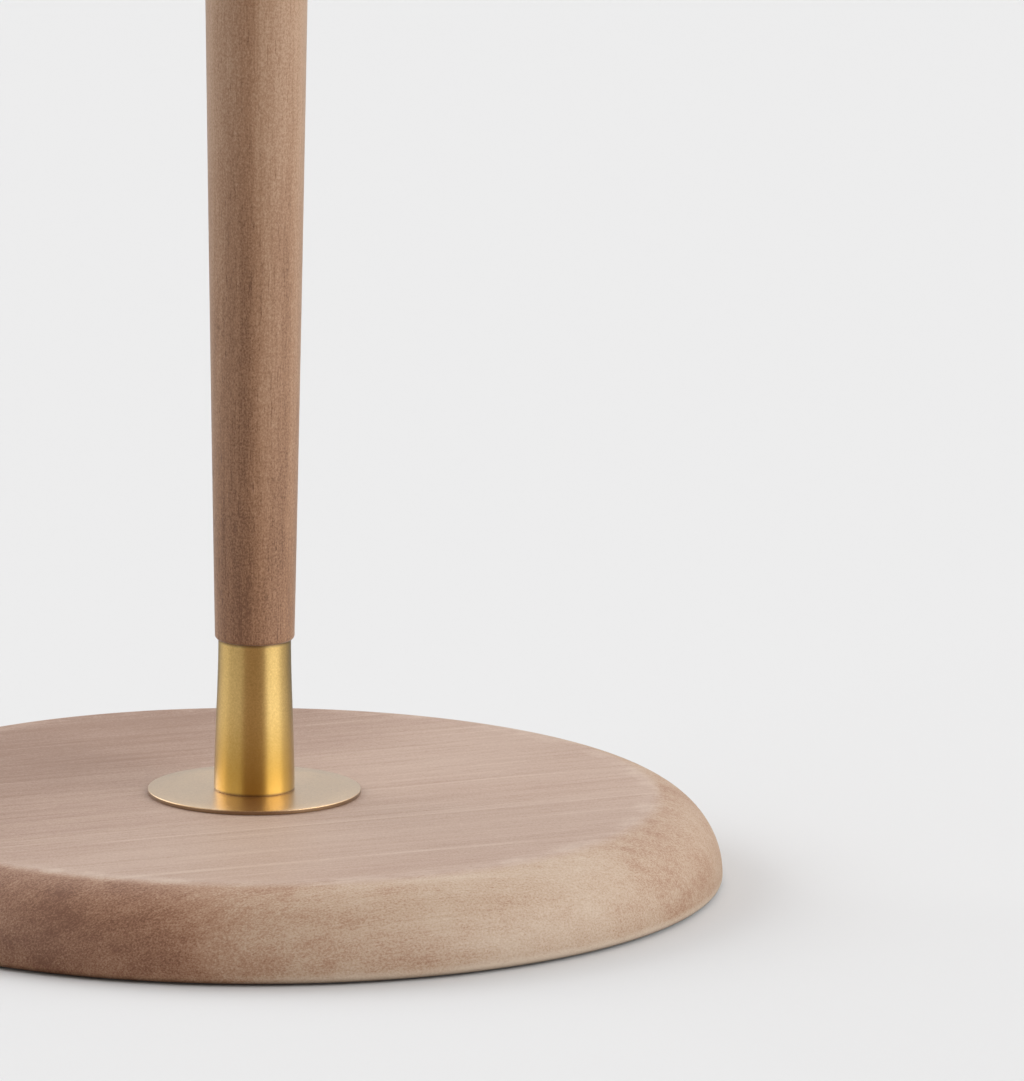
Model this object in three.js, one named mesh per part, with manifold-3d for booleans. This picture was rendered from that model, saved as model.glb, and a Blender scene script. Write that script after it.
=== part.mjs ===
// A paper towel holder that comes apart with one bolt.
//
// A turned wooden disc carries a tapered wooden post. The post's tenon is glued into a brass
// ferrule, which stands on a thin brass flange disc. A button head bolt comes up through the base
// and the flange into a threaded insert in the tenon. A steel ballast plate is screwed into the
// underside of the base, and a non-slip pad covers it.
//
// Millimetres, +Z up. The origin is the centre of the underside, on the surface it stands on.
// Threads are plain cylinders at the thread's outer radius, in holes a little wider.

import * as THREE from 'three';
import { mergeVertices } from 'three/addons/utils/BufferGeometryUtils.js';
import Module from 'manifold-3d';

const wasm = await Module();
wasm.setup();

// ---------------------------------------------------------------- driving dimensions

const base = { radius: 85, flatRadius: 72, height: 15.2, edgeRadius: 1 };
const baseBore = { radius: 2.75, clampedHeight: 7 };
const pad = { radius: 74, boreRadius: 12, thickness: 1.2, standsProud: 0.5 };
const plate = { radius: 62, boreRadius: 11, thickness: 5 };
const flange = { radius: 19.3, boreRadius: 2.9, thickness: 0.8, chamfer: 0.15 };
const ferrule = { footRadius: 7.3, topRadius: 6.57, boreRadius: 5.7, height: 27.6, chamfer: 0.2 };
const post = { footRadius: 7.2, topRadius: 11, belly: 0.35, top: 330, edgeRadius: 0.8, domeHeight: 6 };
const tenon = { radius: 5.55, footGap: 0.3, chamfer: 0.5 };
const tipHole = { radius: 2.9, depth: 18, drillPoint: 1.5 };
const insert = { radius: 4, boreRadius: 2.6, length: 12, footGap: 0.4, ridgeDepth: 0.5, ridges: 5 };
const bolt = { radius: 2.5, length: 25, headRadius: 4.75, headHeight: 2.75, tipChamfer: 0.5 };
const boltSocket = { acrossFlats: 3, depth: 1.6 };
const flatWasher = { radius: 7.5, boreRadius: 2.7, thickness: 1.2 };
const springWasher = { radius: 4.6, boreRadius: 2.6, thickness: 1.2, slit: 0.7 };
const plateScrew = { radius: 1.75, length: 12, headRadius: 3.4, headHeight: 2, circleRadius: 42, count: 3 };
const screwCross = { length: 3.2, width: 0.8, depth: 1.2 };
const fitGap = 0.3;
const threadGap = 0.1;

// Facets round a full turn, for large, middling and small turned pieces.
const facets = { large: 72, medium: 48, small: 24 };

// ---------------------------------------------------------------- heights, from the floor up

const baseBottom = pad.standsProud;
const baseTop = baseBottom + base.height;
const plateBottom = pad.thickness;
const plateTop = plateBottom + plate.thickness;
const washerSeat = baseTop - baseBore.clampedHeight;
const springWasherTop = washerSeat - flatWasher.thickness;
const boltSeat = springWasherTop - springWasher.thickness;
const flangeTop = baseTop + flange.thickness;
const ferruleTop = flangeTop + ferrule.height;
const tenonBottom = flangeTop + tenon.footGap;
const insertBottom = tenonBottom + insert.footGap;
const insertTop = insertBottom + insert.length;

// ---------------------------------------------------------------- materials

const finish = (color, roughness, metalness) =>
  new THREE.MeshStandardMaterial({ color, roughness, metalness, flatShading: true });

const baseWood = finish(0xb8937c, 0.75, 0);
const postWood = finish(0xa67f65, 0.7, 0);
const brass = finish(0xc9a24e, 0.32, 1);
const steel = finish(0x9a9c9e, 0.4, 1);
const blackSteel = finish(0x2c2d2f, 0.55, 0.8);
const rubber = finish(0x2a2826, 0.9, 0);

// ---------------------------------------------------------------- building tools

// Points on a quarter or other stretch of an ellipse round (r, z). Angle 0 points outwards along
// the radius, and 90 degrees points up.
function ellipseArc(r, z, radiusR, radiusZ, fromDegrees, toDegrees, steps) {
  const points = [];
  for (let i = 0; i <= steps; i += 1) {
    const angle = THREE.MathUtils.degToRad(THREE.MathUtils.lerp(fromDegrees, toDegrees, i / steps));
    points.push([r + radiusR * Math.cos(angle), z + radiusZ * Math.sin(angle)]);
  }
  return points;
}

// Turns an outline of [radius, height] points about Z. It runs up the outside and down the inside.
// An outline that doesn't touch the axis is closed on itself, which makes a ring.
function turned(outline, segments) {
  const points = outline.map(([r, z]) => new THREE.Vector2(r, z));
  const meetsAxis = outline[0][0] === 0 && outline[outline.length - 1][0] === 0;
  if (!meetsAxis) points.push(points[0].clone());
  return new THREE.LatheGeometry(points, segments).rotateX(Math.PI / 2);
}

function ring(radius, boreRadius, bottom, top, segments) {
  return turned([[boreRadius, bottom], [radius, bottom], [radius, top], [boreRadius, top]], segments);
}

// A drill or other round cutter between two heights, at (x, y).
function drill(radius, bottom, top, x = 0, y = 0) {
  const shape = new THREE.CylinderGeometry(radius, radius, top - bottom, facets.small);
  return shape.rotateX(Math.PI / 2).translate(x, y, (bottom + top) / 2);
}

function toSolid(geometry) {
  const bare = geometry.clone();
  bare.deleteAttribute('normal');
  bare.deleteAttribute('uv');
  const merged = mergeVertices(bare, 1e-4);
  return new wasm.Manifold(new wasm.Mesh({
    numProp: 3,
    vertProperties: merged.attributes.position.array,
    triVerts: new Uint32Array(merged.index.array),
  }));
}

function cut(geometry, cutters) {
  const solid = cutters.reduce((rest, cutter) => rest.subtract(toSolid(cutter)), toSolid(geometry));
  const mesh = solid.getMesh();
  const result = new THREE.BufferGeometry();
  result.setAttribute('position', new THREE.BufferAttribute(mesh.vertProperties, 3));
  result.setIndex(new THREE.BufferAttribute(mesh.triVerts, 1));
  result.computeVertexNormals();
  return result;
}

function piece(name, geometry, material) {
  const mesh = new THREE.Mesh(geometry, material);
  mesh.name = name;
  return mesh;
}

// ---------------------------------------------------------------- the base and what is under it

const screwPlaces = Array.from({ length: plateScrew.count }, (_, i) => {
  const angle = Math.PI / 2 + (2 * Math.PI * i) / plateScrew.count;
  return [plateScrew.circleRadius * Math.cos(angle), plateScrew.circleRadius * Math.sin(angle)];
});

// A flat top that rolls over in a quarter ellipse to its widest just above a small eased foot.
// The part of the flat that a roll stands on has facets of its own, outside the flange. Underneath
// are the pad's recess, the plate's pocket and the bolt's counterbore.
function makeBase() {
  const footTop = baseBottom + base.edgeRadius;
  const shoulder = base.radius - base.flatRadius;
  const counterbore = flatWasher.radius + fitGap;
  const outline = [
    [baseBore.radius, washerSeat],
    [counterbore, washerSeat],
    [counterbore, plateTop],
    [plate.radius + fitGap, plateTop],
    [plate.radius + fitGap, plateBottom],
    [pad.radius + fitGap, plateBottom],
    [pad.radius + fitGap, baseBottom],
    ...ellipseArc(base.radius - base.edgeRadius, footTop, base.edgeRadius, base.edgeRadius, -90, 0, 3),
    ...ellipseArc(base.flatRadius, footTop, shoulder, baseTop - footTop, 0, 90, 10).slice(1),
    [flange.radius + fitGap, baseTop],
    [baseBore.radius, baseTop],
  ];
  const pilotTop = plateBottom + plateScrew.length + fitGap;
  const pilots = screwPlaces.map(([x, y]) =>
    drill(plateScrew.radius + threadGap, plateBottom, pilotTop, x, y));
  return cut(turned(outline, facets.large), pilots);
}

// The plate has a countersunk hole for each of its screws.
function makePlate() {
  const sinks = screwPlaces.map(([x, y]) => {
    const shaft = plateScrew.radius + threadGap;
    const outline = [
      [0, plateBottom - 1],
      [plateScrew.headRadius + threadGap, plateBottom - 1],
      [plateScrew.headRadius + threadGap, plateBottom],
      [shaft, plateBottom + plateScrew.headHeight],
      [shaft, plateTop + 1],
      [0, plateTop + 1],
    ];
    return turned(outline, facets.small).translate(x, y, 0);
  });
  return cut(ring(plate.radius, plate.boreRadius, plateBottom, plateTop, facets.large), sinks);
}

function makePad() {
  return ring(pad.radius, pad.boreRadius, 0, pad.thickness, facets.large);
}

// A countersunk wood screw, head down, with a cross recess and a point.
function makePlateScrew() {
  const top = plateBottom + plateScrew.length;
  const pointHeight = 2 * plateScrew.radius;
  const outline = [
    [0, plateBottom],
    [plateScrew.headRadius, plateBottom],
    [plateScrew.radius, plateBottom + plateScrew.headHeight],
    [plateScrew.radius, top - pointHeight],
    [0, top],
  ];
  const bars = [0, Math.PI / 2].map((angle) =>
    new THREE.BoxGeometry(screwCross.length, screwCross.width, 2 * screwCross.depth)
      .rotateZ(angle)
      .translate(0, 0, plateBottom));
  return cut(turned(outline, facets.small), bars);
}

// ---------------------------------------------------------------- the bolt and its washers

function makeBolt() {
  const headBottom = boltSeat - bolt.headHeight;
  const crown = 0.75 * bolt.headHeight;
  const flatRadius = bolt.headRadius / 2;
  const tip = boltSeat + bolt.length;
  const outline = [
    [0, headBottom],
    ...ellipseArc(flatRadius, headBottom + crown, bolt.headRadius - flatRadius, crown, -90, 0, 5),
    [bolt.headRadius, boltSeat],
    [bolt.radius, boltSeat],
    [bolt.radius, tip - bolt.tipChamfer],
    [bolt.radius - bolt.tipChamfer, tip],
    [0, tip],
  ];
  const socketRadius = boltSocket.acrossFlats / Math.sqrt(3);
  const socket = new THREE.CylinderGeometry(socketRadius, socketRadius, 2 * boltSocket.depth, 6);
  socket.rotateX(Math.PI / 2).translate(0, 0, headBottom);
  return cut(turned(outline, facets.small), [socket]);
}

function makeFlatWasher() {
  return ring(flatWasher.radius, flatWasher.boreRadius, springWasherTop, washerSeat, facets.small);
}

function makeSpringWasher() {
  const body = ring(springWasher.radius, springWasher.boreRadius, boltSeat, springWasherTop, facets.small);
  const slit = new THREE.BoxGeometry(springWasher.radius * 2, springWasher.slit, springWasher.thickness * 3);
  slit.translate(springWasher.radius, 0, boltSeat);
  return cut(body, [slit]);
}

// ---------------------------------------------------------------- the brass

function makeFlange() {
  const inner = flange.radius - flange.chamfer;
  return turned([
    [flange.boreRadius, baseTop],
    [inner, baseTop],
    [flange.radius, baseTop + flange.chamfer],
    [flange.radius, flangeTop - flange.chamfer],
    [inner, flangeTop],
    [flange.boreRadius, flangeTop],
  ], facets.large);
}

// The sleeve draws in from foot to top along a soft S.
function makeFerrule() {
  const steps = 10;
  const wall = [];
  for (let i = 0; i <= steps; i += 1) {
    const t = i / steps;
    const draw = THREE.MathUtils.smoothstep(t, 0, 1);
    const radius = THREE.MathUtils.lerp(ferrule.footRadius, ferrule.topRadius, draw);
    const height = THREE.MathUtils.lerp(flangeTop + ferrule.chamfer, ferruleTop - ferrule.chamfer, t);
    wall.push([radius, height]);
  }
  return turned([
    [ferrule.boreRadius, flangeTop],
    [ferrule.footRadius - ferrule.chamfer, flangeTop],
    ...wall,
    [ferrule.topRadius - ferrule.chamfer, ferruleTop],
    [ferrule.boreRadius, ferruleTop],
  ], facets.medium);
}

// ---------------------------------------------------------------- the post and its insert

// The post's radius at a share of its height above the ferrule: a straight taper with a slight
// swelling, widest at the top.
function postRadius(t) {
  return THREE.MathUtils.lerp(post.footRadius, post.topRadius, t) + 4 * post.belly * t * (1 - t);
}

function makePost() {
  const shaftBottom = ferruleTop + post.edgeRadius;
  const domeBottom = post.top - post.domeHeight;
  const steps = 10;
  const shaft = [];
  for (let i = 1; i < steps; i += 1) {
    shaft.push([postRadius(i / steps), THREE.MathUtils.lerp(shaftBottom, domeBottom, i / steps)]);
  }
  const foot = post.footRadius - post.edgeRadius;
  const tipHoleTop = tenonBottom + tipHole.depth;
  const outline = [
    [0, tipHoleTop + tipHole.drillPoint],
    [tipHole.radius, tipHoleTop],
    [tipHole.radius, insertTop + fitGap],
    [insert.radius + threadGap, insertTop + fitGap],
    [insert.radius + threadGap, tenonBottom],
    [tenon.radius - tenon.chamfer, tenonBottom],
    [tenon.radius, tenonBottom + tenon.chamfer],
    [tenon.radius, ferruleTop],
    ...ellipseArc(foot, shaftBottom, post.edgeRadius, post.edgeRadius, -90, 0, 3),
    ...shaft,
    ...ellipseArc(0, domeBottom, post.topRadius, post.domeHeight, 0, 90, 8).slice(0, -1),
    [0, post.top],
  ];
  return turned(outline, facets.medium);
}

// A screw-in insert: its outer thread is a row of ridges.
function makeInsert() {
  const ridgeHeight = insert.length / insert.ridges;
  const outer = [];
  for (let i = 0; i < insert.ridges; i += 1) {
    const bottom = insertBottom + i * ridgeHeight;
    outer.push([insert.radius - insert.ridgeDepth, bottom]);
    outer.push([insert.radius, bottom + ridgeHeight / 2]);
  }
  return turned([
    [insert.boreRadius, insertBottom],
    ...outer,
    [insert.radius - insert.ridgeDepth, insertTop],
    [insert.boreRadius, insertTop],
  ], facets.small);
}

// ---------------------------------------------------------------- the assembly

const underside = new THREE.Group();
underside.add(
  piece('base_disc', makeBase(), baseWood),
  piece('ballast_plate', makePlate(), blackSteel),
  piece('foot_pad', makePad(), rubber),
);
screwPlaces.forEach(([x, y], i) => {
  const screw = piece(`plate_screw_${i + 1}`, makePlateScrew(), steel);
  screw.position.set(x, y, 0);
  underside.add(screw);
});

const fastening = new THREE.Group();
fastening.add(
  piece('assembly_bolt', makeBolt(), steel),
  piece('spring_washer', makeSpringWasher(), steel),
  piece('flat_washer', makeFlatWasher(), steel),
);

const upright = new THREE.Group();
upright.add(
  piece('flange_disc', makeFlange(), brass),
  piece('ferrule', makeFerrule(), brass),
  piece('post', makePost(), postWood),
  piece('threaded_insert', makeInsert(), brass),
);

const holder = new THREE.Group();
holder.add(underside, fastening, upright);

export default holder;
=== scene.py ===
import math

import bpy
from mathutils import Matrix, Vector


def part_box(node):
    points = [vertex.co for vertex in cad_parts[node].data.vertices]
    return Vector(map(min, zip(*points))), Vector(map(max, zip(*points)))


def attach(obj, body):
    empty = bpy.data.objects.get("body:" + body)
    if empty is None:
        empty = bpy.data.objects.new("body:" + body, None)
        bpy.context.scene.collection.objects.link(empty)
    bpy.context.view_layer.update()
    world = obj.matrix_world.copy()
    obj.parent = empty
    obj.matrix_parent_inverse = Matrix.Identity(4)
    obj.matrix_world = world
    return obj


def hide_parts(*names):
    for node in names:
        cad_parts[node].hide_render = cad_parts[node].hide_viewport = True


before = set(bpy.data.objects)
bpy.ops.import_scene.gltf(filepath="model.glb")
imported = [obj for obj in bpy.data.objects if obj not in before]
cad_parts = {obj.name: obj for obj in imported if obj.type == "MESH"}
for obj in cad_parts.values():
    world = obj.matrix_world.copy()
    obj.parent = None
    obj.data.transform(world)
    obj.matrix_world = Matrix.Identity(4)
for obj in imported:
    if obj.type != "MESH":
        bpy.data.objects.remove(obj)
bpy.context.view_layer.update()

# Looks of a paper towel holder: a turned wooden base and post, a brass ferrule and flange, and the
# bolt, washers, insert, ballast plate, screws and pad that hold it together. Metres, +Z up.

MM = 0.001
TURN = 2 * math.pi


# ---------------------------------------------------------------- meshes


def add_piece(name, vertices, faces, crease=32):
    """A new object from vertices and faces, smooth except where it bends over crease degrees."""
    mesh = bpy.data.meshes.new(name)
    mesh.from_pydata(vertices, [], faces)
    mesh.validate()
    mesh.shade_smooth()
    mesh.set_sharp_from_angle(angle=math.radians(crease))
    piece = bpy.data.objects.new(name, mesh)
    bpy.context.scene.collection.objects.link(piece)
    return piece


def turned(name, outline, segments, centre=(0, 0), crease=32):
    """Turns an outline about an upright axis. It runs up the outside and down the inside.

    An outline point is (radius, height) or (radius, height, shape), where shape(angle) is a factor
    on the radius. An outline that doesn't start and end on the axis is closed on itself."""
    vertices = []
    rings = []
    for radius, height, *shape in outline:
        count = segments if radius else 1
        rings.append(range(len(vertices), len(vertices) + count))
        for step in range(count):
            angle = TURN * step / segments
            reach = radius * shape[0](angle) if shape else radius
            x = centre[0] + reach * math.cos(angle)
            y = centre[1] + reach * math.sin(angle)
            vertices.append((x, y, height))
    pairs = list(zip(rings, rings[1:]))
    if outline[0][0] or outline[-1][0]:
        pairs.append((rings[-1], rings[0]))
    faces = []
    for lower, upper in pairs:
        for step in range(segments):
            after = (step + 1) % segments
            corners = [
                lower[step % len(lower)],
                lower[after % len(lower)],
                upper[after % len(upper)],
                upper[step % len(upper)],
            ]
            faces.append(list(dict.fromkeys(corners)))
    return add_piece(name, vertices, faces, crease)


def arc(r, z, radius_r, radius_z, start, end, steps):
    """Outline points on an ellipse round (r, z). 0 degrees points outwards and 90 points up."""
    points = []
    for i in range(steps + 1):
        angle = math.radians(start + (end - start) * i / steps)
        points.append((r + radius_r * math.cos(angle), z + radius_z * math.sin(angle)))
    return points


def outer_edge(r, z, ease, upper, steps=4):
    """A rounded outer corner at radius r and height z, at the top or at the bottom of a wall."""
    if upper:
        return arc(r - ease, z - ease, ease, ease, 0, 90, steps)
    return arc(r - ease, z + ease, ease, ease, -90, 0, steps)


def inner_edge(r, z, ease, upper, steps=3):
    """A rounded corner at the mouth of a bore of radius r, at the top or at the bottom."""
    if upper:
        return arc(r + ease, z - ease, ease, ease, 90, 180, steps)
    return arc(r + ease, z + ease, ease, ease, 180, 270, steps)


def ridge(height, pitch, depth, radius):
    """A shape for turned(): a helical ridge, one turn a pitch, with flats at crest and root."""

    def shape(angle):
        share = (height / pitch - angle / TURN) % 1
        fall = min(max((abs(2 * share - 1) - 0.125) / 0.75, 0), 1)
        return 1 - depth * fall / radius

    return shape


def thread(radius, bottom, top, pitch, depth, tip=0.0, rows=12):
    """Outline points up a threaded wall. The ridge fades in and out over half a pitch at both ends.

    Over the last stretch, tip long, the wall narrows towards a point."""
    count = max(2, round((top - bottom) / pitch * rows))
    points = []
    for i in range(count + 1):
        height = bottom + (top - bottom) * i / count
        fade = min(1, 2 * min(height - bottom, top - height) / pitch)
        narrow = min(1, (top - height) / tip) if tip else 1
        wall = radius * max(narrow, 0.08)
        cut_depth = depth * fade * narrow
        points.append((wall, height, ridge(height, pitch, cut_depth, wall)))
    return points


def hexagon(angle):
    """A shape for turned(): the corner-to-flat ratio round a hexagonal socket."""
    return 1 / math.cos((angle + math.pi / 6) % (math.pi / 3) - math.pi / 6)


def cut(piece, cutter, crease=32):
    """Cuts one piece with another, which is used up."""
    modifier = piece.modifiers.new("cut", "BOOLEAN")
    modifier.operation = "DIFFERENCE"
    modifier.solver = "EXACT"
    modifier.object = cutter
    graph = bpy.context.evaluated_depsgraph_get()
    mesh = bpy.data.meshes.new_from_object(piece.evaluated_get(graph))
    piece.modifiers.clear()
    piece.data = mesh
    mesh.shade_smooth()
    mesh.set_sharp_from_angle(angle=math.radians(crease))
    bpy.data.objects.remove(cutter)


def stands_for(piece, body, node, material):
    """Finishes a piece: its look, the body it rides on, and the CAD node that it replaces."""
    piece.data.materials.clear()
    piece.data.materials.append(material)
    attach(piece, body)
    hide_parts(node)


# ---------------------------------------------------------------- node helpers


class Shader:
    """A material, and short calls that add nodes to it."""

    def __init__(self, name, **settings):
        self.material = bpy.data.materials.new(name)
        self.material.use_nodes = True
        self.tree = self.material.node_tree
        self.surface = self.tree.nodes["Principled BSDF"]
        for socket, value in settings.items():
            self.surface.inputs[socket.replace("_", " ")].default_value = value

    def node(self, kind, inputs, output=0, **settings):
        made = self.tree.nodes.new("ShaderNode" + kind)
        for name, value in settings.items():
            setattr(made, name, value)
        for socket, value in inputs.items():
            if isinstance(value, bpy.types.NodeSocket):
                self.tree.links.new(value, made.inputs[socket])
            else:
                made.inputs[socket].default_value = value
        return made.outputs[output]

    def object_point(self):
        """The point on the object, in millimetres."""
        point = self.node("TexCoord", {}, "Object")
        return self.node("VectorMath", {0: point, "Scale": 1 / MM}, operation="SCALE")

    def turn(self, point, degrees):
        rotation = [math.radians(d) for d in degrees]
        return self.node("Mapping", {"Vector": point, "Rotation": rotation})

    def part(self, point, axis):
        return self.node("SeparateXYZ", {0: point}, "XYZ".index(axis))

    def math(self, operation, a, b=0.0, c=0.0):
        return self.node("Math", {0: a, 1: b, 2: c}, operation=operation)

    def centred(self, value):
        """A noise of 0 to 1 moved down to swing both ways round 0."""
        return self.math("SUBTRACT", value, 0.5)

    def radius(self, point):
        """The distance from the upright axis."""
        flat_point = self.node("VectorMath", {0: point, 1: (1, 1, 0)}, operation="MULTIPLY")
        return self.node("VectorMath", {0: flat_point}, "Value", operation="LENGTH")

    def noise(self, point, sizes, detail=3.0, roughness=0.5, distortion=0.0):
        """Noise whose blotches are sizes long in millimetres along X, Y and Z, from 0 to 1."""
        scale = [1 / size for size in sizes]
        stretched = self.node("Mapping", {"Vector": point, "Scale": scale})
        settings = {
            "Vector": stretched,
            "Scale": 1.0,
            "Detail": detail,
            "Roughness": roughness,
            "Distortion": distortion,
        }
        return self.node("TexNoise", settings)

    def ramp(self, value, low, high, start=0.0, end=1.0):
        """start below low, end above high, and a smooth change between."""
        settings = {0: value, 1: low, 2: high, 3: start, 4: end}
        return self.node("MapRange", settings, interpolation_type="SMOOTHSTEP")

    def hump(self, value, centre, width):
        """1 at centre, and falls to 0 a width away on both sides."""
        distance = self.math("ABSOLUTE", self.math("SUBTRACT", value, centre))
        return self.ramp(distance, 0.0, width, 1.0, 0.0)

    def total(self, start, *terms):
        """start plus each value times its weight."""
        result = start
        for value, weight in terms:
            result = self.math("MULTIPLY_ADD", value, weight, result)
        return result

    def mix(self, share, first, second, blend="MIX"):
        settings = {0: share, 6: first, 7: second}
        return self.node("Mix", settings, 2, data_type="RGBA", blend_type=blend)

    def colours(self, value, stops):
        """A colour ramp through (place, colour) stops."""
        made = self.tree.nodes.new("ShaderNodeValToRGB")
        self.tree.links.new(value, made.inputs[0])
        elements = made.color_ramp.elements
        while len(elements) < len(stops):
            elements.new(1.0)
        for element, (place, colour) in zip(elements, stops):
            element.position = place
            element.color = colour
        return made.outputs[0]

    def set(self, socket, value):
        self.tree.links.new(value, self.surface.inputs[socket])

    def bump(self, height, distance, strength=1.0):
        """Raises the surface by height times distance, in metres."""
        settings = {"Height": height, "Distance": distance, "Strength": strength}
        self.set("Normal", self.node("Bump", settings))


def colour(red, green, blue):
    """A shader colour from linear red, green and blue."""
    return (red, green, blue, 1.0)


# ---------------------------------------------------------------- wood


def grain_layers(shader, grain):
    """The parts of plain wood that every face shows. grain runs along X, in millimetres."""
    sway = shader.noise(grain, (160, 45, 45), detail=2)
    bend = shader.math("MULTIPLY_ADD", sway, 7.0, -3.5)
    shift = shader.node("CombineXYZ", {"Y": bend, "Z": bend})
    warped = shader.node("VectorMath", {0: grain, 1: shift}, operation="ADD")
    return {
        "point": warped,
        "rings": shader.noise(warped, (400, 2.6, 3.4), detail=3, roughness=0.6),
        "fibre": shader.noise(warped, (28, 0.55, 0.55), detail=4, roughness=0.65),
        "hair": shader.noise(warped, (7, 0.22, 0.22), detail=2),
        "pores": shader.ramp(shader.noise(warped, (3.2, 0.26, 0.26), detail=1), 0.64, 0.74),
        "cloud": shader.noise(grain, (38, 20, 20), detail=3, roughness=0.55),
        "speck": shader.noise(grain, (0.42, 0.3, 0.3), detail=2, roughness=0.7),
    }


def base_wood():
    """Sanded pale wood. The top is fine and pinkish, and the rolled edge is cloudy and browner."""
    shader = Shader("base_wood", Specular_IOR_Level=0.45)
    point = shader.object_point()
    grain = shader.turn(point, (4, 3, -23))
    layers = grain_layers(shader, grain)
    radius = shader.radius(point)
    along = shader.part(grain, "X")
    across = shader.part(layers["point"], "Y")
    side = shader.ramp(radius, 71.6, 75.0)
    drift = shader.centred(shader.noise(point, (45, 45, 30), detail=2))
    wander = shader.total(along, (drift, 50.0))
    # Darker at the left end of the rolled side: partly the wood's own colour, partly painted shade
    # on the side turned from the light.
    dark_wood_and_shade = shader.ramp(wander, -80.0, 10.0, 1.0, 0.0)
    tail = shader.ramp(wander, 34.0, 62.0)
    stain = shader.noise(point, (15, 15, 7), detail=4, roughness=0.6)
    blotch = shader.math("MULTIPLY", shader.ramp(stain, 0.42, 0.66), side)
    # Painted shade: the flat top is darker towards its rear left, away from the light on the right,
    # where the post's shadow falls.
    painted_shade_on_top = shader.ramp(shader.part(shader.turn(point, (0, 0, 37)), "X"), -50.0, 12.0, 1.0, 0.0)
    flat = shader.math("SUBTRACT", 1.0, side)
    painted_shade_on_top = shader.math("MULTIPLY", painted_shade_on_top, flat)
    height = shader.part(point, "Z")
    # A paler lower edge on the rolled side, kept off its dark left end: partly wear, partly a
    # painted highlight where the edge rolls under into shade.
    foot = shader.math("MULTIPLY", shader.ramp(height, 1.2, 2.6, 1.0, 0.0), side)
    foot = shader.math("MULTIPLY", foot, shader.math("SUBTRACT", 1.0, dark_wood_and_shade))
    veins = shader.math(
        "MAXIMUM",
        shader.hump(across, -25.0, 0.9),
        shader.hump(across, -28.6, 0.7),
    )
    veins = shader.math("MAXIMUM", veins, shader.hump(across, -56.0, 1.2))
    streaks = shader.ramp(shader.noise(layers["point"], (60, 1.5, 1.5), detail=2), 0.5, 0.72)
    veins = shader.math("MAXIMUM", veins, shader.math("MULTIPLY", streaks, 0.7))
    broken = shader.ramp(shader.noise(grain, (34, 2.0, 2.0), detail=2), 0.36, 0.62)
    veins = shader.math("MULTIPLY", veins, shader.math("MULTIPLY", broken, flat))
    # A paler band round the arris, broken up by noise: partly rubbed wear, partly a painted
    # highlight on the rounded edge.
    wear_and_highlight = shader.noise(point, (7, 7, 7), detail=4, roughness=0.7)
    arris = shader.math(
        "MULTIPLY",
        shader.hump(radius, 71.4, 3.4),
        shader.ramp(wear_and_highlight, 0.38, 0.66),
    )
    figure = shader.total(
        0.0,
        (shader.centred(layers["rings"]), 0.55),
        (shader.centred(layers["fibre"]), 0.4),
        (shader.centred(layers["hair"]), 0.3),
    )
    clear = shader.math("MULTIPLY_ADD", side, -0.35, 1.0)
    dark = shader.total(
        0.40,
        (shader.math("MULTIPLY", figure, clear), 1.0),
        (shader.centred(layers["speck"]), 1.0),
        (shader.centred(layers["cloud"]), 0.35),
        (layers["pores"], 0.1),
        (shader.math("MULTIPLY", dark_wood_and_shade, side), 0.66),
        (shader.math("MULTIPLY", tail, side), 0.22),
        (side, -0.2),
        (painted_shade_on_top, 0.5),
        (blotch, 0.12),
        (foot, -0.3),
        (veins, -0.26),
        (arris, -0.3),
    )
    top_wood = shader.colours(
        dark,
        (
            (0.0, colour(0.60, 0.465, 0.375)),
            (0.45, colour(0.48, 0.333, 0.258)),
            (1.0, colour(0.30, 0.175, 0.12)),
        ),
    )
    side_wood = shader.colours(
        dark,
        (
            (0.0, colour(0.64, 0.52, 0.405)),
            (0.35, colour(0.54, 0.395, 0.285)),
            (0.6, colour(0.42, 0.25, 0.16)),
            (0.8, colour(0.31, 0.16, 0.095)),
            (1.0, colour(0.20, 0.092, 0.053)),
        ),
    )
    shader.set("Base Color", shader.mix(side, top_wood, side_wood))
    relief = shader.total(
        0.0,
        (layers["fibre"], 0.5),
        (layers["hair"], 0.35),
        (layers["pores"], -0.6),
        (layers["speck"], 0.35),
    )
    shader.bump(relief, 0.05 * MM, 0.7)
    rough = shader.total(0.52, (layers["fibre"], 0.12), (layers["pores"], 0.12))
    shader.set("Roughness", rough)
    return shader.material


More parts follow.
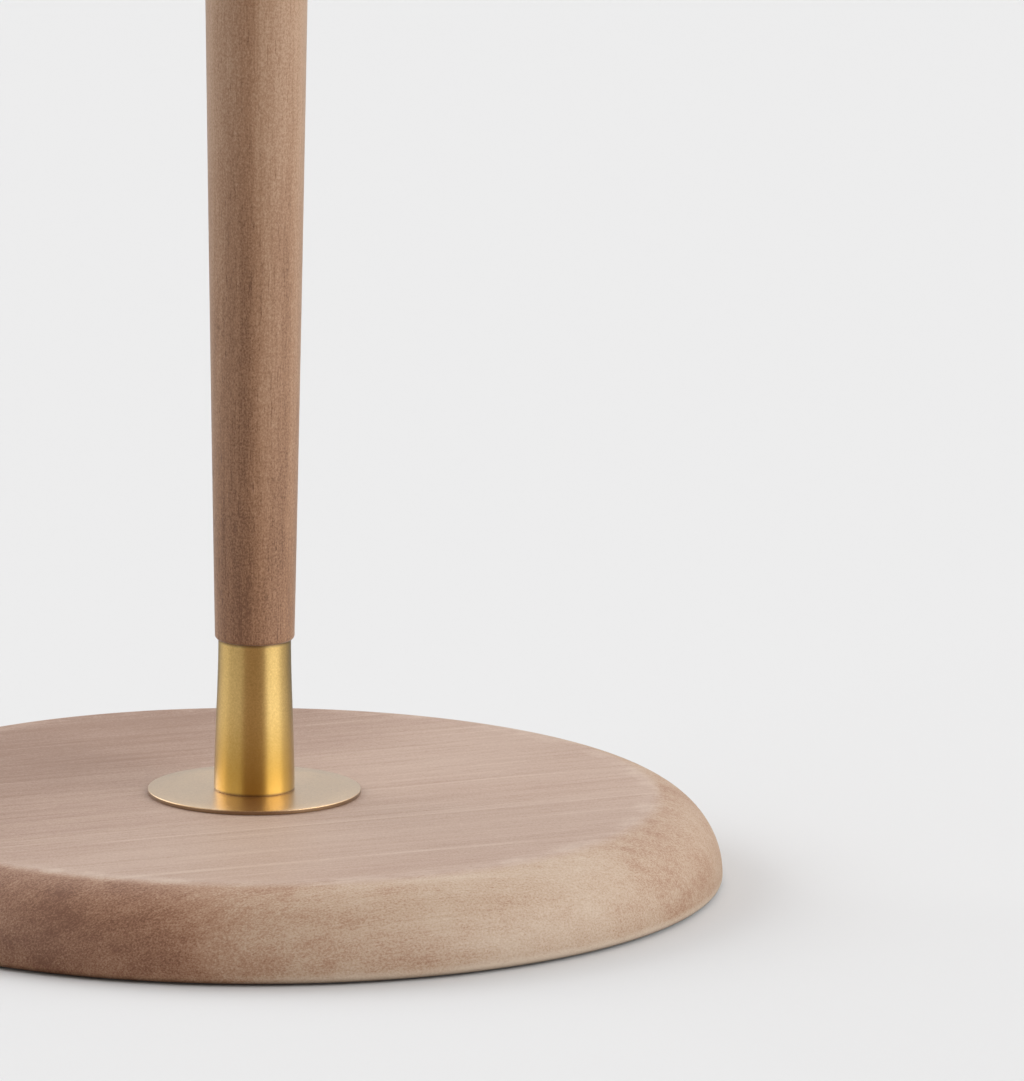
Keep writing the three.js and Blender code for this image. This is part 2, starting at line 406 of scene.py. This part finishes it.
def post_wood():
    """Oiled brown wood with upright grain, darker towards the foot, and one small pin knot."""
    shader = Shader("post_wood", Sheen_Weight=0.42, Sheen_Roughness=0.4)
    point = shader.object_point()
    height = shader.part(point, "Z")
    facing = shader.turn(point, (0, 0, 55))
    beside = shader.part(facing, "X")
    above = shader.math("SUBTRACT", height, 102.0)
    outside = shader.ramp(shader.part(facing, "Y"), -2.0, -7.0)

    def patch(wide, tall):
        """1 at the pin knot, and falls to 0 wide beside it and tall above and below it."""
        across, upwards = shader.hump(beside, 0.0, wide), shader.hump(above, 0.0, tall)
        return shader.math("MULTIPLY", outside, shader.math("MULTIPLY", across, upwards))

    near = patch(4.5, 12.0)
    knot = patch(1.5, 0.8)
    swerve = shader.math("MULTIPLY", near, beside)
    bent = shader.node("CombineXYZ", {"X": shader.math("MULTIPLY", swerve, 0.5)})
    upright = shader.node("VectorMath", {0: point, 1: bent}, operation="SUBTRACT")
    grain = shader.turn(upright, (0, 90, 0))
    layers = grain_layers(shader, grain)
    # Painted shade: a darker upright band down the post's left front, where the light falls off.
    left = shader.turn(point, (0, 0, -60))
    painted_shade_band = shader.hump(shader.part(left, "Y"), -2.2, 4.0)
    foot = shader.ramp(height, 44.0, 165.0, 1.0, 0.0)
    dark = shader.total(
        0.2,
        (shader.centred(layers["rings"]), 0.6),
        (shader.centred(layers["fibre"]), 0.5),
        (shader.centred(layers["hair"]), 0.35),
        (shader.centred(layers["cloud"]), 0.4),
        (shader.centred(layers["speck"]), 1.5),
        (layers["pores"], 0.26),
        (foot, 0.42),
        (painted_shade_band, 0.14),
        (near, 0.08),
        (knot, 0.3),
    )
    wood = shader.colours(
        dark,
        (
            (0.0, colour(0.60, 0.41, 0.28)),
            (0.5, colour(0.42, 0.24, 0.14)),
            (1.0, colour(0.20, 0.10, 0.055)),
        ),
    )
    shader.set("Base Color", wood)
    relief = shader.total(
        0.0,
        (layers["fibre"], 0.5),
        (layers["hair"], 0.35),
        (layers["pores"], -0.8),
        (layers["speck"], 0.35),
    )
    shader.bump(relief, 0.05 * MM, 0.7)
    rough = shader.total(0.42, (layers["fibre"], 0.14), (layers["pores"], 0.14))
    shader.set("Roughness", rough)
    return shader.material


# ---------------------------------------------------------------- metals, rubber

# Brown for unpolished brass, also laid on as painted shade.
TARNISH_AND_SHADE = colour(0.16, 0.085, 0.04)
# The deep colour of a painted reflection of brass in brass.
AMBER_REFLECTION = colour(0.47, 0.275, 0.03)


def turned_brass(name, base, roughness, brushed, coat, dull_and_shade=None, amber_reflection=None):
    """Satin brass with fine brush lines round the axis, under a clear lacquer.

    dull(shader, radius, height) says where the brass is painted brown, for unpolished metal and for
    painted shade, and amber says where a painted reflection of nearby brass deepens its colour,
    both from 0 to 1."""
    shader = Shader(
        name,
        Metallic=1.0,
        Anisotropic=brushed,
        Anisotropic_Rotation=0.25,
        Coat_Weight=coat,
        Coat_Roughness=0.3,
    )
    point = shader.object_point()
    radius = shader.radius(point)
    height = shader.part(point, "Z")
    spin = shader.math("ARCTAN2", shader.part(point, "Y"), shader.part(point, "X"))
    brushed = shader.node("CombineXYZ", {"X": radius, "Y": height, "Z": spin})
    lines = shader.noise(brushed, (0.11, 0.11, 0.5), detail=3, roughness=0.7)
    grit = shader.noise(point, (0.34, 0.34, 0.34), detail=2, roughness=0.7)
    patina = shader.noise(point, (9, 9, 9), detail=3, roughness=0.6)
    tone = shader.total(
        0.5,
        (shader.centred(lines), 0.35),
        (shader.centred(grit), 1.6),
        (shader.centred(patina), 0.4),
    )
    pale = colour(*(min(1.0, 1.16 * channel) for channel in base))
    deep = colour(0.82 * base[0], 0.74 * base[1], 0.6 * base[2])
    metal = shader.colours(tone, ((0.0, deep), (1.0, pale)))
    rough = shader.total(roughness - 0.08, (lines, 0.1), (patina, 0.06))
    # Painted reflection of nearby brass.
    if amber_reflection:
        metal = shader.mix(amber_reflection(shader, radius, height), metal, AMBER_REFLECTION)
    # Painted brown: unpolished brass and painted shade.
    if dull_and_shade:
        share = dull_and_shade(shader, radius, height)
        metal = shader.mix(share, metal, TARNISH_AND_SHADE)
        rough = shader.total(rough, (share, 0.2))
    shader.set("Base Color", metal)
    shader.set("Roughness", rough)
    relief = shader.total(0.0, (lines, 0.5), (grit, 1.0))
    shader.bump(relief, 0.02 * MM, 0.6)
    tangent = shader.node("Tangent", {}, direction_type="RADIAL", axis="Z")
    shader.set("Tangent", tangent)
    return shader.material


def bright_steel():
    """Zinc-plated steel: a faint crystalline mottle, finely scratched."""
    shader = Shader("zinc_steel", Metallic=1.0)
    point = shader.object_point()
    mottle = shader.noise(point, (1.1, 1.1, 1.1), detail=4, roughness=0.6)
    scratch = shader.noise(point, (0.9, 0.07, 0.07), detail=2)
    tone = shader.total(0.15, (mottle, 0.5), (scratch, 0.3))
    stops = ((0.0, colour(0.42, 0.43, 0.45)), (1.0, colour(0.72, 0.72, 0.70)))
    shader.set("Base Color", shader.colours(tone, stops))
    shader.set("Roughness", shader.total(0.2, (mottle, 0.18), (scratch, 0.1)))
    shader.bump(shader.total(0.0, (mottle, 0.5), (scratch, 0.5)), 0.01 * MM, 0.5)
    return shader.material


def blackened_steel():
    """Powder-coated steel, with the fine orange-peel of the coat."""
    shader = Shader("black_steel", Metallic=0.0)
    point = shader.object_point()
    peel = shader.noise(point, (0.9, 0.9, 0.9), detail=2)
    dust = shader.noise(point, (14, 14, 14), detail=4, roughness=0.6)
    stops = ((0.3, colour(0.018, 0.019, 0.021)), (0.8, colour(0.05, 0.05, 0.052)))
    shader.set("Base Color", shader.colours(dust, stops))
    shader.set("Roughness", shader.total(0.38, (dust, 0.2), (peel, 0.1)))
    shader.bump(peel, 0.04 * MM, 0.6)
    return shader.material


def pad_rubber():
    """Soft foam rubber: fine closed cells, dusty where it has been handled."""
    shader = Shader("foot_rubber")
    point = shader.object_point()
    cells = shader.node(
        "TexVoronoi", {"Vector": point, "Scale": 1.6}, "Distance", feature="F1"
    )
    dust = shader.noise(point, (18, 18, 18), detail=5, roughness=0.65)
    grit = shader.noise(point, (0.35, 0.35, 0.35), detail=2)
    tone = shader.total(0.0, (dust, 0.7), (grit, 0.3))
    stops = ((0.25, colour(0.016, 0.015, 0.015)), (0.8, colour(0.055, 0.052, 0.05)))
    shader.set("Base Color", shader.colours(tone, stops))
    shader.set("Roughness", shader.total(0.72, (dust, 0.18), (grit, 0.08)))
    shader.bump(shader.total(0.0, (cells, 1.0), (grit, 0.4)), 0.1 * MM, 0.7)
    return shader.material


# ---------------------------------------------------------------- the base


def sizes(node):
    """A CAD node's outer radius, lowest height and highest height."""
    low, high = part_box(node)
    return high.x, low.z, high.z


def make_base():
    """A disc with a flat top, a side rolled over from the flat's edge, and a recess underneath."""
    radius, bottom, top = sizes("base_disc")
    pad_radius, _, pad_top = sizes("foot_pad")
    plate_radius, _, plate_top = sizes("ballast_plate")
    washer_radius, _, washer_seat = sizes("flat_washer")
    gap = 0.3 * MM
    ease = 1.0 * MM
    soft = 0.3 * MM
    bore = 2.75 * MM
    flat = 72 * MM
    lip = 6  # degrees that the roll stops short of level, which leaves a faint arris
    foot_top = bottom + ease
    width = (radius - flat) / (1 - math.sin(math.radians(lip)))
    rise = (top - foot_top) / math.cos(math.radians(lip))
    shoulder = arc(radius - width, foot_top, width, rise, 0, 90 - lip, 40)
    arris = shoulder.pop()
    outline = [
        (bore, washer_seat),
        (washer_radius + gap - soft, washer_seat),
        (washer_radius + gap, washer_seat - soft),
        *inner_edge(washer_radius + gap, plate_top, soft, False, 3),
        (plate_radius + gap, plate_top),
        *inner_edge(plate_radius + gap, pad_top, soft, False, 3),
        (pad_radius + gap, pad_top),
        *inner_edge(pad_radius + gap, bottom, soft, False, 3),
        *outer_edge(radius, bottom, ease, False, 8),
        *shoulder[1:],
        (arris[0] + 0.4 * MM, arris[1] - 0.03 * MM),
        (arris[0], arris[1] - 0.008 * MM),
        (arris[0] - 0.5 * MM, top),
        *[(flat * share, top) for share in (0.9, 0.75, 0.6, 0.45, 0.3, 0.15)],
        *inner_edge(bore, top, soft, True, 3),
    ]
    piece = turned("wooden_base", outline, 288)
    for x, y in screw_places:
        _, low, high = sizes("plate_screw_1")
        hole = 1.9 * MM
        drill = [(0, low), (hole, low), (hole, high - hole), (0, high + 0.3 * MM)]
        cut(piece, turned("drill", drill, 32, (x, y)))
    stands_for(piece, "base", "base_disc", base_wood())


def make_pad():
    """A ring with four grooves round its underside."""
    radius, bottom, top = sizes("foot_pad")
    bore = 12 * MM
    ease = 0.25 * MM
    groove, half_mouth, half_floor = 0.35 * MM, 0.8 * MM, 0.4 * MM
    outline = [*inner_edge(bore, bottom, ease, False, 4)]
    for centre in (20 * MM, 32 * MM, 56 * MM, 68 * MM):
        outline += [
            (centre - half_mouth, bottom),
            (centre - half_floor, bottom + groove),
            (centre + half_floor, bottom + groove),
            (centre + half_mouth, bottom),
        ]
    outline += [
        *outer_edge(radius, bottom, ease, False, 5),
        *outer_edge(radius, top, ease, True, 5),
        *inner_edge(bore, top, ease, True, 4),
    ]
    piece = turned("foam_pad", outline, 192)
    stands_for(piece, "base", "foot_pad", pad_rubber())


def make_plate():
    """A steel ring with three countersunk holes."""
    radius, bottom, top = sizes("ballast_plate")
    bore = 11 * MM
    ease = 0.5 * MM
    outline = [
        *inner_edge(bore, bottom, ease, False, 3),
        *outer_edge(radius, bottom, ease, False, 4),
        *outer_edge(radius, top, ease, True, 4),
        *inner_edge(bore, top, ease, True, 3),
    ]
    piece = turned("steel_ballast", outline, 160)
    head, shaft, head_height = 3.5 * MM, 1.9 * MM, 2 * MM
    for x, y in screw_places:
        sink = [
            (0, bottom - MM),
            (head, bottom - MM),
            (head, bottom),
            (shaft, bottom + head_height),
            (shaft, top + MM),
            (0, top + MM),
        ]
        cut(piece, turned("sink", sink, 48, (x, y)))
    stands_for(piece, "base", "ballast_plate", blackened_steel())


def make_plate_screw(number, place, steel):
    """A countersunk wood screw, head down, with a cross recess that narrows inwards."""
    node = f"plate_screw_{number}"
    _, bottom, top = sizes(node)
    head, shaft, head_height = 3.4 * MM, 1.75 * MM, 2 * MM
    pitch, thread_depth, tip = 1.4 * MM, 0.5 * MM, 3.5 * MM
    thread_bottom, thread_top = bottom + head_height + 0.4 * MM, top - 0.05 * MM
    outline = [
        (0, bottom),
        (head - 0.1 * MM, bottom),
        (head, bottom + 0.1 * MM),
        (shaft, bottom + head_height),
        *thread(shaft, thread_bottom, thread_top, pitch, thread_depth, tip),
        (0, top),
    ]
    piece = turned(f"countersunk_screw_{number}", outline, 48, place)
    arm, width, depth = 1.6 * MM, 0.4 * MM, 1.2 * MM
    taper = 0.6
    corners = [(-1, -1), (1, -1), (1, 1), (-1, 1)]
    sides = [(i, (i + 1) % 4, (i + 1) % 4 + 4, i + 4) for i in range(4)]
    for long, short in ((arm, width), (width, arm)):
        driver = []
        for scale, height in ((1, bottom - depth), (taper, bottom + depth)):
            for x, y in corners:
                driver.append((place[0] + scale * long * x, place[1] + scale * short * y, height))
        cut(piece, add_piece("driver", driver, [(3, 2, 1, 0), (4, 5, 6, 7), *sides]))
    stands_for(piece, "base", node, steel)


# ---------------------------------------------------------------- the bolt and its washers


def make_bolt(steel):
    """A button head bolt, head down, with a hexagonal socket."""
    _, bottom, tip = sizes("assembly_bolt")
    _, seat, _ = sizes("spring_washer")
    head, shank, pitch = 4.75 * MM, 2.5 * MM, 0.8 * MM
    socket, socket_depth = 1.5 * MM, 1.6 * MM
    crown = 0.75 * (seat - bottom)
    flat = head / 2
    rim = 0.15 * MM
    dome = arc(flat, bottom + crown, head - flat, crown, -90, 0, 14)
    outline = [
        (0, bottom + socket_depth + 0.35 * MM),
        (0.7 * socket, bottom + socket_depth, hexagon),
        (socket, bottom + socket_depth, hexagon),
        (socket, bottom + rim, hexagon),
        (socket + rim, bottom, hexagon),
        *dome,
        *outer_edge(head, seat, rim, True, 3)[1:],
        (shank + 0.2 * MM, seat),
        (shank, seat + 0.2 * MM),
        *thread(shank, seat + 0.6 * MM, tip - 0.5 * MM, pitch, 0.43 * MM),
        (shank - 0.5 * MM, tip),
        (0, tip),
    ]
    piece = turned("button_head_bolt", outline, 72)
    stands_for(piece, "bolt", "assembly_bolt", steel)


def make_flat_washer(steel):
    """A plain washer with eased edges."""
    radius, bottom, top = sizes("flat_washer")
    bore, ease = 2.7 * MM, 0.2 * MM
    outline = [
        *inner_edge(bore, bottom, ease, False),
        *outer_edge(radius, bottom, ease, False),
        *outer_edge(radius, top, ease, True),
        *inner_edge(bore, top, ease, True),
    ]
    piece = turned("stamped_washer", outline, 96)
    stands_for(piece, "base", "flat_washer", steel)


def make_spring_washer(steel):
    """A split ring of rounded square wire that climbs a little from one end to the other."""
    radius, bottom, top = sizes("spring_washer")
    bore, ease, climb = 2.6 * MM, 0.18 * MM, 0.12 * MM
    slit = 0.7 * MM
    steps = 72
    height = top - bottom - climb
    section = [
        *outer_edge(radius, 0, ease, False, 3),
        *outer_edge(radius, height, ease, True, 3),
        *inner_edge(bore, height, ease, True, 3),
        *inner_edge(bore, 0, ease, False, 3),
    ]
    half_slit = math.asin(slit / 2 / radius)
    vertices = []
    for step in range(steps + 1):
        share = step / steps
        angle = half_slit + (TURN - 2 * half_slit) * share
        for r, z in section:
            vertices.append((r * math.cos(angle), r * math.sin(angle), bottom + z + climb * share))
    count = len(section)
    faces = [list(reversed(range(count))), list(range(steps * count, (steps + 1) * count))]
    for step in range(steps):
        for i in range(count):
            j = (i + 1) % count
            here, there = step * count, (step + 1) * count
            faces.append([here + i, there + i, there + j, here + j])
    piece = add_piece("split_washer", vertices, faces)
    stands_for(piece, "base", "spring_washer", steel)


# ---------------------------------------------------------------- the brass


def make_flange():
    """A thin disc with a cut rim."""
    radius, bottom, top = sizes("flange_disc")
    bore, ease = 2.9 * MM, 0.12 * MM
    outline = [
        *inner_edge(bore, bottom, ease, False),
        *outer_edge(radius, bottom, ease, False, 5),
        *outer_edge(radius, top, ease, True, 5),
        *[(radius * share, top) for share in (0.8, 0.6, 0.4, 0.25)],
        *inner_edge(bore, top, ease, True),
    ]
    piece = turned("brass_flange", outline, 256)

    def dull_and_shade(shader, reach, height):
        """The cut rim, below the polished face: its own duller brown, and painted shade there."""
        rim = shader.ramp(reach, radius / MM - 0.3, radius / MM - 0.1)
        under = shader.ramp(height, top / MM - 0.2, top / MM - 0.05, 1.0, 0.0)
        return shader.math("MULTIPLY", shader.math("MULTIPLY", rim, under), 0.85)

    material = turned_brass("flange_brass", (0.68, 0.48, 0.28), 0.3, 0.25, 0.9, dull_and_shade)
    stands_for(piece, "base", "flange_disc", material)


def make_ferrule():
    """A sleeve that narrows from its foot to its mouth in a soft S."""
    foot, bottom, top = sizes("ferrule")
    mouth, bore, ease = 6.57 * MM, 5.7 * MM, 0.06 * MM
    steps = 48
    wall = []
    for i in range(1, steps):
        t = i / steps
        draw = t * t * (3 - 2 * t)
        height = bottom + ease + (top - bottom - 2 * ease) * t
        wall.append((foot + (mouth - foot) * draw, height))
    outline = [
        *inner_edge(bore, bottom, ease, False),
        *outer_edge(foot, bottom, ease, False, 5),
        *wall,
        *outer_edge(mouth, top, ease, True, 5),
        *inner_edge(bore, top, ease, True),
    ]
    piece = turned("brass_ferrule", outline, 256)

    def dull_and_shade(shader, reach, height):
        """Painted shade: a brown line at each end, where it meets the post and the flange."""
        low = shader.ramp(height, bottom / MM + 0.1, bottom / MM + 0.5, 1.0, 0.0)
        high = shader.ramp(height, top / MM - 0.6, top / MM - 0.1)
        return shader.math("MULTIPLY", shader.math("MAXIMUM", low, high), 0.6)

    def amber_reflection(shader, reach, height):
        """Painted reflection: the colour deepens towards the flared foot, where the flange's brass
        is reflected.
        """
        return shader.ramp(height, bottom / MM + 1.0, bottom / MM + 18.0, 0.85, 0.0)

    material = turned_brass("ferrule_brass", (0.67, 0.49, 0.19), 0.42, 0.85, 0.7, dull_and_shade, amber_reflection)
    stands_for(piece, "post", "ferrule", material)


def make_insert():
    """A screw-in insert with a coarse outer thread and the bolt's thread in its bore."""
    radius, bottom, top = sizes("threaded_insert")
    bore, ease = 2.6 * MM, 0.2 * MM
    pitch, groove, start = 0.8 * MM, 0.25 * MM, 0.6 * MM
    outer_pitch, outer_depth, outer_start = 2.4 * MM, 0.6 * MM, 0.3 * MM
    wall = thread(bore, bottom + start, top - start, pitch, groove)
    inside = [(r, z, ridge(z, pitch, -groove, r)) for r, z, _ in reversed(wall)]
    outside = thread(
        radius, bottom + outer_start, top - outer_start, outer_pitch, outer_depth, rows=24
    )
    outline = [
        (bore + ease, bottom),
        (radius - outer_depth, bottom),
        *outside,
        (radius - outer_depth, top),
        (bore + ease, top),
        *inside,
    ]
    piece = turned("brass_insert", outline, 72)
    material = turned_brass("insert_metal", (0.80, 0.58, 0.26), 0.3, 0.75, 0.0)
    stands_for(piece, "post", "threaded_insert", material)


# ---------------------------------------------------------------- the post


def make_post():
    """A rod that widens upwards with a slight belly, on a tenon that is hollow for the insert."""
    _, tenon_bottom, top = sizes("post")
    insert_radius, _, insert_top = sizes("threaded_insert")
    insert_hole = insert_radius + 0.1 * MM
    _, _, shoulder = sizes("ferrule")
    foot, head, belly = 7.2 * MM, 11 * MM, 0.35 * MM
    ease, dome = 0.8 * MM, 6 * MM
    tenon, chamfer = 5.55 * MM, 0.5 * MM
    tip_hole, tip_depth = 2.9 * MM, 18 * MM
    low, high = shoulder + ease, top - dome
    steps = 120
    shaft = []
    for i in range(1, steps):
        t = i / steps
        radius = foot + (head - foot) * t + 4 * belly * t * (1 - t)
        shaft.append((radius, low + (high - low) * t))
    outline = [
        (0, tenon_bottom + tip_depth + 1.5 * MM),
        (tip_hole, tenon_bottom + tip_depth),
        (tip_hole, insert_top + 0.3 * MM),
        (insert_hole, insert_top + 0.3 * MM),
        (insert_hole, tenon_bottom),
        (tenon - chamfer, tenon_bottom),
        (tenon, tenon_bottom + chamfer),
        (tenon, shoulder),
        *arc(foot - ease, low, ease, ease, -90, 0, 8),
        *shaft,
        *arc(0, high, head, dome, 0, 90, 40)[:-1],
        (0, top),
    ]
    piece = turned("wooden_post", outline, 192)
    stands_for(piece, "post", "post", post_wood())


# ---------------------------------------------------------------- studio


def make_floor():
    """A floor that is pale to the camera, and too dark to light the object from below."""
    reach = 6.0
    corners = [(-reach, -reach, 0), (reach, -reach, 0), (reach, reach, 0), (-reach, reach, 0)]
    floor = add_piece("studio_floor", corners, [(0, 1, 2, 3)])
    shader = Shader("studio_floor", Roughness=1.0, Specular_IOR_Level=0.0)
    seen = shader.node("LightPath", {}, "Is Camera Ray")
    pale, deep = colour(0.79, 0.797, 0.804), colour(0.16, 0.16, 0.16)
    shader.set("Base Color", shader.mix(seen, deep, pale))
    floor.data.materials.append(shader.material)


class Sky(Shader):
    """The studio round the object. Azimuth 0 is towards the camera and 90 is to its right."""

    def __init__(self):
        self.world = bpy.data.worlds.new("studio")
        self.world.use_nodes = True
        self.tree = self.world.node_tree
        self.tree.nodes.clear()
        direction = self.node("TexCoord", {}, "Generated")
        ahead = self.math("MULTIPLY", self.part(direction, "Y"), -1.0)
        turn = self.math("ARCTAN2", self.part(direction, "X"), ahead)
        self.azimuth = self.math("DEGREES", turn)
        lift = self.math("ARCSINE", self.part(direction, "Z"))
        self.elevation = self.math("DEGREES", lift)

    def span(self, value, low, high, soft):
        """1 between low and high, with edges that are soft degrees wide on each side."""
        if low > -180:
            start = self.ramp(value, low - soft, low + soft)
        else:
            start = 1.0
        if high < 180:
            end = self.ramp(value, high - soft, high + soft, 1.0, 0.0)
        else:
            end = 1.0
        return self.math("MULTIPLY", start, end)

    def panel(self, left, right, low, high):
        """1 on a soft-edged panel between two azimuths and two elevations."""
        across = self.span(self.azimuth, left, right, 4.0)
        upwards = self.span(self.elevation, low, high, 6.0)
        return self.math("MULTIPLY", across, upwards)


def light_studio(level):
    """A strong soft box to the right, one to the left behind, a dim room, and a warm fill in front.

    Each panel is its two azimuths, its two elevations and its radiance."""
    panels = (
        (37, 90, -8, 14, 2.5),
        (37, 90, 14, 38, 5.2),
        (-148, -99, -8, 14, 0.9),
        (-148, -99, 14, 42, 4.4),
        (-99, -36, -8, 36, 1.4),
        (90, 120, -8, 60, 1.35),
        (120, 180, -8, 28, 0.46),
        (-180, -148, -8, 28, 0.4),
        (120, 180, 28, 62, 1.9),
        (-180, -148, 28, 62, 1.9),
    )
    room, warm = 0.14, colour(0.42, 0.24, 0.13)
    sky = Sky()
    light = room
    for left, right, low, high, radiance in panels:
        light = sky.total(light, (sky.panel(left, right, low, high), radiance))
    glow = sky.node("Background", {"Color": light, "Strength": level})
    front = sky.math("MULTIPLY", sky.panel(-36, 37, -8, 36), level)
    fill = sky.node("Background", {"Color": warm, "Strength": front})
    glow = sky.node("AddShader", {0: glow, 1: fill})
    plain = colour(0.863, 0.863, 0.863)
    backdrop = sky.node("Background", {"Color": plain, "Strength": 1.0})
    seen = sky.node("LightPath", {}, "Is Camera Ray")
    both = sky.node("MixShader", {0: seen, 1: glow, 2: backdrop})
    output = sky.tree.nodes.new("ShaderNodeOutputWorld")
    sky.tree.links.new(both, output.inputs["Surface"])
    bpy.context.scene.world = sky.world


def place_camera():
    """A long lens a little above the base, level with the lower part of the post."""
    distance, height = 1.8162, 13.118
    tilt, swing, roll = 11.202, -1.501, 0.448
    data = bpy.data.cameras.new("camera")
    data.lens = 333.0
    data.sensor_width = 36.0
    data.clip_start, data.clip_end = 0.1, 50.0
    camera = bpy.data.objects.new("camera", data)
    up = math.radians(height)
    camera.location = (0, -distance * math.cos(up), distance * math.sin(up) + 0.5 * MM)
    facing = Matrix.Rotation(math.radians(swing), 3, "Z")
    facing = facing @ Matrix.Rotation(math.radians(90 - tilt), 3, "X")
    facing = facing @ Matrix.Rotation(math.radians(roll), 3, "Z")
    camera.rotation_euler = facing.to_euler()
    bpy.context.scene.collection.objects.link(camera)
    bpy.context.scene.camera = camera


# ---------------------------------------------------------------- the scene

bpy.context.scene.view_settings.view_transform = "Standard"

screw_places = []
for number in (1, 2, 3):
    low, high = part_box(f"plate_screw_{number}")
    screw_places.append(((low.x + high.x) / 2, (low.y + high.y) / 2))

place_camera()
light_studio(0.94)
make_floor()

steel = bright_steel()
make_base()
make_pad()
make_plate()
for number, place in enumerate(screw_places, 1):
    make_plate_screw(number, place, steel)
make_bolt(steel)
make_flat_washer(steel)
make_spring_washer(steel)
make_flange()
make_ferrule()
make_insert()
make_post()
